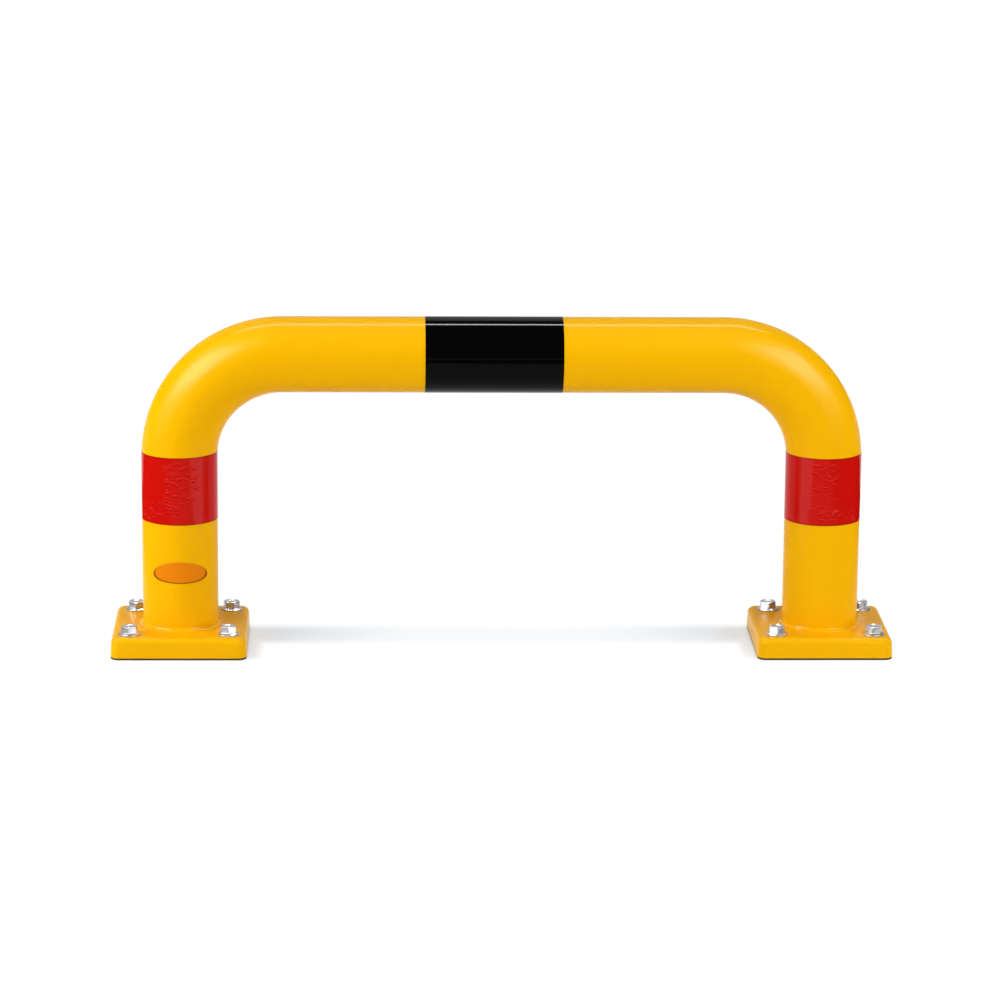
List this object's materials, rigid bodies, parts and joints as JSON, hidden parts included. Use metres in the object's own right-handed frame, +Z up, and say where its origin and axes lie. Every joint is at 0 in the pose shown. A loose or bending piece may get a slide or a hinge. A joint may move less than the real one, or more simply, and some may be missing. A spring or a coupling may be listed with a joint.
{
  "type": "steel hoop barrier",
  "caption": "Low floor-mounted hoop guard of bent round steel tube on two welded base plates with flange bolts, yellow coat, red and black bands.",
  "frame": {"origin": "bottom centre of the box round the whole barrier, on the floor plane under the middle of the rail", "axes": "+X along the rail, +Z up, the front faces -Y"},
  "size_m": [0.7838, 0.1358, 0.3371],
  "materials": {
    "yellow_coat": "gloss powder coat",
    "weld_coat": "gloss powder coat over a fillet weld",
    "red_tape": "glossy adhesive film",
    "black_tape": "glossy adhesive film",
    "zinc_plate": "bright zinc plating"
  },
  "bodies": {
    "root": {"hoop_tube": "yellow_coat", "base_plate_left": "yellow_coat", "base_plate_right": "yellow_coat", "weld_bead_left": "weld_coat", "weld_bead_right": "weld_coat", "red_band_left": "red_tape", "red_band_right": "red_tape", "black_band": "black_tape", "bolt_left_front_outer": "zinc_plate", "bolt_left_front_inner": "zinc_plate", "bolt_left_back_outer": "zinc_plate", "bolt_left_back_inner": "zinc_plate", "bolt_right_front_inner": "zinc_plate", "bolt_right_front_outer": "zinc_plate", "bolt_right_back_inner": "zinc_plate", "bolt_right_back_outer": "zinc_plate"}
  },
  "joints": []
}
